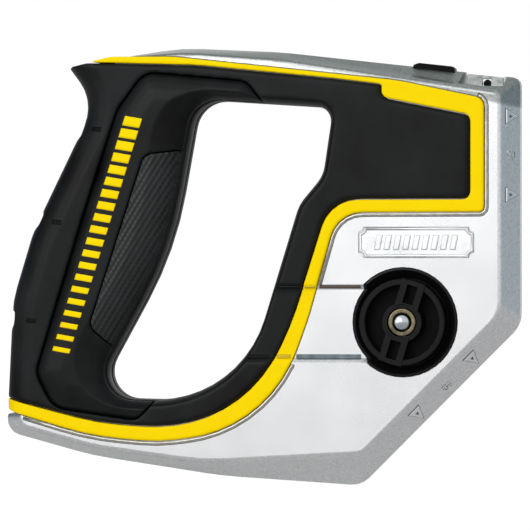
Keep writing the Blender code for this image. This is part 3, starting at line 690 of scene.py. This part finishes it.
def draped_bars(name, tree, start, end, count, length, side):
    """Slanted bars lying on a surface, in a row from start to end."""
    axis = (end - start).normalized()
    across = Vector((axis.z, 0, -axis.x))
    bm = bmesh.new()
    for index in range(count):
        share = index / max(count - 1, 1)
        half = (0.85 + 0.9 * share) * MM
        centre = start + (end - start) * share
        grid = []
        for column in range(15):
            u = column / 14 - 0.5
            line = []
            for row in range(5):
                v = (row / 2 - 1) * half
                point = centre + across * (u * length) + axis * (v + 0.14 * u * length)
                hit = seen_at(tree, point.x, point.z, side)
                line.append(bm.verts.new(hit + Vector((0, side * PRINT_LIFT, 0))))
            grid.append(line)
        for lower, upper in zip(grid, grid[1:]):
            for row in range(4):
                bm.faces.new((lower[row], lower[row + 1], upper[row + 1], upper[row]))
    bmesh.ops.recalc_face_normals(bm, faces=bm.faces[:])
    if sum(face.normal.y * side for face in bm.faces) < 0:
        bmesh.ops.reverse_faces(bm, faces=bm.faces[:])
    bmesh.ops.solidify(bm, geom=bm.faces[:], thickness=PRINT_THICKNESS)
    made = object_from(bm, name)
    made.data.shade_smooth()
    return made


def grip_print(skins):
    """Plain bars down the palm, and a short step beside each notch of the spine."""
    low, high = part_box("near_palm_insert")
    width, height = high.x - low.x, high.z - low.z
    start = Vector((low.x + 0.115 * width, 0, low.z + 0.20 * height))
    end = Vector((low.x + 0.40 * width + 2.4 * MM, 0, low.z + 0.875 * height - 2 * MM))
    bars = draped_bars("grip_bars", tree_of(skins["palm_insert"]), start, end, BAR_COUNT, BAR_LENGTH, -1)
    dress(bars, YELLOW, "handle")
    tree = tree_of(skins["grip_cover"])
    for index, (x, z) in enumerate(SPINE_STEPS):
        start, end = Vector((x, 0, z)) * MM, Vector((x + 1.2, 0, z + 5)) * MM
        step = draped_bars(f"spine_step_{index}", tree, start, end, 1, 3.6 * MM, -1)
        dress(step, DEEP_BLACK_AND_SHADE, "handle")


# --- knob channel ------------------------------------------------------------------------------
def front_layer(trees, x, z, side):
    """The layer seen first at a point of the side view, with its depth."""
    best = (None, 0.0)
    for layer, tree in trees.items():
        hit = seen_at(tree, x, z, side)
        if hit is not None and side * hit.y > best[1]:
            best = (layer, side * hit.y)
    return best


def channel_runs(word, side, end):
    """Where each layer meets the upper (end 1) or lower wall of the knob channel."""
    trees = {layer: tree_of(bpy.data.objects[f"{word}_{layer}_surface"])
             for layer in ("casting", "trim_band", "grip_cover")}
    wall = CHANNEL_MIDDLE + end * CHANNEL_HALF
    runs = {}
    last = None
    for step in range(CHANNEL_STEPS):
        x = CHANNEL_START + step * CHANNEL_STEP
        layer, floor_depth = front_layer(trees, x, wall - end * MM, side)
        face_depth = front_layer(trees, x, wall + end * 1.3 * MM, side)[1]
        clear = math.hypot(x - DISH_MIDDLE[0], wall - DISH_MIDDLE[1]) > DISH_REACH
        if layer is None or not clear or not 0.4 * MM < face_depth - floor_depth < 2 * MM:
            last = None
            continue
        if layer != last:
            runs.setdefault(layer, []).append([])
            last = layer
        runs[layer][-1].append((x, wall, floor_depth, face_depth))
    return {layer: [run for run in lists if len(run) > 2] for layer, lists in runs.items()}


def lip(name, run, side, end):
    """Slanted strip down the wall of the channel."""
    bm = bmesh.new()
    rings = []
    width = LIP_WIDTH * (UPPER_LIP_SHARE if end > 0 else 1.0)
    for x, wall, low, high in run:
        corners = ((0.35 * MM, high + 0.02 * MM), (0.05 * MM, high + 0.05 * MM), (-width, low + 0.03 * MM),
                   (-width, low - 0.2 * MM), (0.35 * MM, low - 0.2 * MM))
        rings.append([bm.verts.new((x, side * depth, wall + end * offset)) for offset, depth in corners])
    add_rings(bm, rings)
    return object_from(bm, name)


def channel_lips(word, side):
    for end, place in ((1, "upper"), (-1, "lower")):
        # Painted shade: each lip is darker than its layer; the casting's upper lip takes the seam shadow
        # colour, its lower lip dark grey, the yellow's lips a darker yellow.
        looks = {"casting": (LIP_SHADOW if end < 0 else SEAM_SHADOW, "cast_aluminium"),
                 "trim_band": (YELLOW_STEP_SHADE, "yellow_overmould"), "grip_cover": (NYLON, "black_overmould")}
        for layer, runs in channel_runs(word, side, end).items():
            surface, slot = looks[layer]
            for index, run in enumerate(runs):
                made = lip(f"{word}_{layer}_lip_{place}_{index}", run, side, end)
                dress(made, surface, "handle")


# --- label and small parts ---------------------------------------------------------------------
def label_bar(name, x, z, face, grow, depth, surface):
    """One raised slanted bar of the label, or the wider flat outline under it, coloured as the bar's
    painted shadow.
    """
    bm = bmesh.new()
    rings = []
    for inset, out_by in ((-grow, -0.2), (-grow, depth * 0.6), (0.2 - grow, depth)):
        half_x, half_z = (0.95 - inset) * MM, (2.5 - inset) * MM
        y = -(face + out_by) * MM
        rings.append([bm.verts.new((x + a * half_x + b * 0.5 * MM, y, z + b * half_z))
                      for a, b in ((-1, -1), (1, -1), (1, 1), (-1, 1))])
    add_rings(bm, rings)
    dress(object_from(bm, name), surface, "handle")


def label_relief():
    """Ridge between two thin lines of painted shadow round the label, and plain bars inside."""
    plate = copy_of("label_plate", "label_outline")
    loops = [closed_run(loop) for loop in outer_loops(plate, -1)]
    face = max(-vertex.co.y for vertex in plate.data.vertices) / MM
    bpy.data.objects.remove(plate, do_unlink=True)
    ridge = swept("label_frame", loops, [(offset, face + rise) for offset, rise in LABEL_RIDGE], -1)
    dress(ridge, MARK, "handle")
    for offset, name in ((0.0, "outer"), (-0.85, "inner")):
        inner, outer = offset - 0.12, offset + 0.16
        profile = [(inner, face - 0.1), (inner, face + 0.04), (outer, face + 0.04), (outer, face - 0.1)]
        line = swept("label_shadow_line_" + name, loops, profile, -1)
        dress(line, LABEL_SHADOW_PAINT, "handle")
    low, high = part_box("label_plate")
    z = (low.z + high.z) / 2
    for index in range(LABEL_BARS):
        x = low.x + (0.17 + 0.66 * index / (LABEL_BARS - 1)) * (high.x - low.x)
        label_bar(f"label_shadow_line_{index}", x, z, face, 0.18, 0.03, LABEL_SHADOW_PAINT)
        label_bar(f"label_bar_{index}", x, z, face, 0.0, 0.3, PLATE)


# Painted shade: a dark cone set inside the catch window so that the window looks dark inside.
def catch_window_shade():
    bm = bmesh.new()
    bmesh.ops.create_cone(bm, cap_ends=True, segments=24, radius1=1.5 * MM, radius2=1.2 * MM,
                          depth=2.4 * MM)
    bead = object_from(bm, "catch_window_shade")
    bead.data.transform(Matrix.Translation(CATCH_WINDOW_SHADE) @ Matrix.Rotation(math.pi / 2, 4, "X"))
    dress(bead, DEEP_BLACK_AND_SHADE, "handle")


def finish_nodes():
    """Finishes for every CAD node, and rounded edges for the ones that show."""
    bodies = {name: body for body, names in frame["record"]["behaviour"]["bodies"].items()
              for name in names}
    for row in frame["record"]["subparts"]:
        name, slot = row["node"], row["material_slot"]
        node = frame["nodes"][name]
        node.data.materials.clear()
        node.data.materials.append(FINISHES[slot])
        if name in ROUNDED:
            made = machined(name, name + "_surface", ROUNDED[name] * MM)
            dress(made, SPECIAL.get(name, FINISHES[slot]), bodies[name], [name])
    # Faces deeper than the rim take the darker black: painted shade in the knob's hollows.
    knob = bpy.data.objects["clamp_knob_surface"]
    knob.data.materials.append(DEEP_BLACK_AND_SHADE)
    for polygon in knob.data.polygons:
        if polygon.center.y > KNOB_FLOOR:
            polygon.material_index = 1


def button_spring():
    """The spring, which shortens as the button goes down on it, copied here with a mesh of its own; nothing
    here shortens it.
    """
    spring = copy_of("button_spring", "button_spring_surface")
    spring.data.shade_smooth()
    dress(spring, PLAIN_STEEL, "handle", ["button_spring"])
    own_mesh(spring)


# --- build -------------------------------------------------------------------------------------
bpy.context.scene.view_settings.view_transform = "Standard"
add_camera()
add_world()
add_area_light("front_soft", (-0.6, -1.5, 0.7), (1.0, 0.8), 9)
add_area_light("left_soft", (-1.2, -1.2, -0.1), (0.5, 1.2), 4)
add_floor()

POLISHED = polished_aluminium()
CAST = cast_aluminium()
YELLOW = yellow_elastomer()
BLACK = black_elastomer("black_elastomer", 0.16)
PAD = black_elastomer("black_elastomer_pad", 0.42)
NYLON = black_nylon("black_nylon", (0.0045, 0.0045, 0.005), 0.16)
# Darkest black, for the release button and the spine steps, and as painted shade in the knob's hollows and
# the catch window.
DEEP_BLACK_AND_SHADE = black_nylon("black_nylon_dark_and_shade", (0.004, 0.004, 0.004), 0.06)
# Painted shadow: dark brown for the strip in the groove round the overmould and for the casting's upper
# channel lip.
SEAM_SHADOW = black_nylon("seam_shadow", (0.12, 0.10, 0.07), 0.1)
# Painted shadow: dark grey for the outlines under the raised marks and the shade in the arrows' dimples.
MARK_SHADOW = black_nylon("mark_shadow_grey", (0.09, 0.10, 0.11), 0.2)
STEEL = metal("bright_steel", (0.62, 0.64, 0.66), (0.80, 0.82, 0.84), 0.22, 300)
PLAIN_STEEL = metal("plain_steel", (0.40, 0.40, 0.41), (0.55, 0.55, 0.56), 0.32, 300)
BRASS = metal("brass", (0.07, 0.06, 0.035), (0.26, 0.22, 0.14), 0.35, 420)
PLATE = metal("satin_plate", (0.86, 0.87, 0.88), (0.94, 0.94, 0.95), 0.3, 120)
# Painted shade: dark grey for the casting's lower channel lip.
LIP_SHADOW = metal("lip_painted_shade", (0.16, 0.20, 0.22), (0.30, 0.36, 0.40), 0.34, 300)
MARK = metal("mark_metal", (0.80, 0.82, 0.83), (0.92, 0.93, 0.93), 0.4, 300)
# Painted shade: the rim round the overmould is a darker grey than the casting.
RIM_SHADED = metal("rim_painted_shade", (0.42, 0.41, 0.37), (0.66, 0.66, 0.62), 0.34, 420)
STUD = metal("stud_steel", (0.42, 0.47, 0.50), (0.58, 0.63, 0.66), 0.26, 300)
CATCH = metal("catch_steel", (0.22, 0.24, 0.24), (0.42, 0.43, 0.41), 0.3, 500)
# Painted shadow: grey for the lines round the label and under its bars.
LABEL_SHADOW_PAINT = metal("label_shadow", (0.36, 0.39, 0.41), (0.52, 0.55, 0.57), 0.4, 300)
# Painted shade: darker yellow for the steps of the channel through the yellow band.
YELLOW_STEP_SHADE = metal("yellow_shade", (0.52, 0.38, 0.0), (0.66, 0.48, 0.0), 0.5, 120)
YELLOW_STEP_SHADE.node_tree.nodes["Principled BSDF"].inputs["Metallic"].default_value = 0.0

FINISHES = {
    "cast_aluminium": CAST, "yellow_overmould": YELLOW, "black_overmould": BLACK, "black_plastic": NYLON,
    "bright_steel": STEEL, "spring_steel": PLAIN_STEEL, "brass": BRASS, "satin_plate": PLATE}
SPECIAL = {"clamp_stud": STUD, "blade_catch": CATCH, "release_button": DEEP_BLACK_AND_SHADE}
ROUNDED = {
    "clamp_knob": 0.22, "knob_dish": 0.2, "knob_bushing": 0.15, "clamp_stud": 0.15, "stud_nut": 0.3,
    "label_plate": 0.12, "release_button": 0.35, "blade_catch": 0.15}

for word, side in SIDES.items():
    casting = casting_pieces(word, side)
    skins = overmould_pieces(word, side)
    rim_pieces(word, side, casting)
    channel_lips(word, side)
    if word == "near":
        grip_print(skins)
label_relief()
catch_window_shade()
finish_nodes()
button_spring()
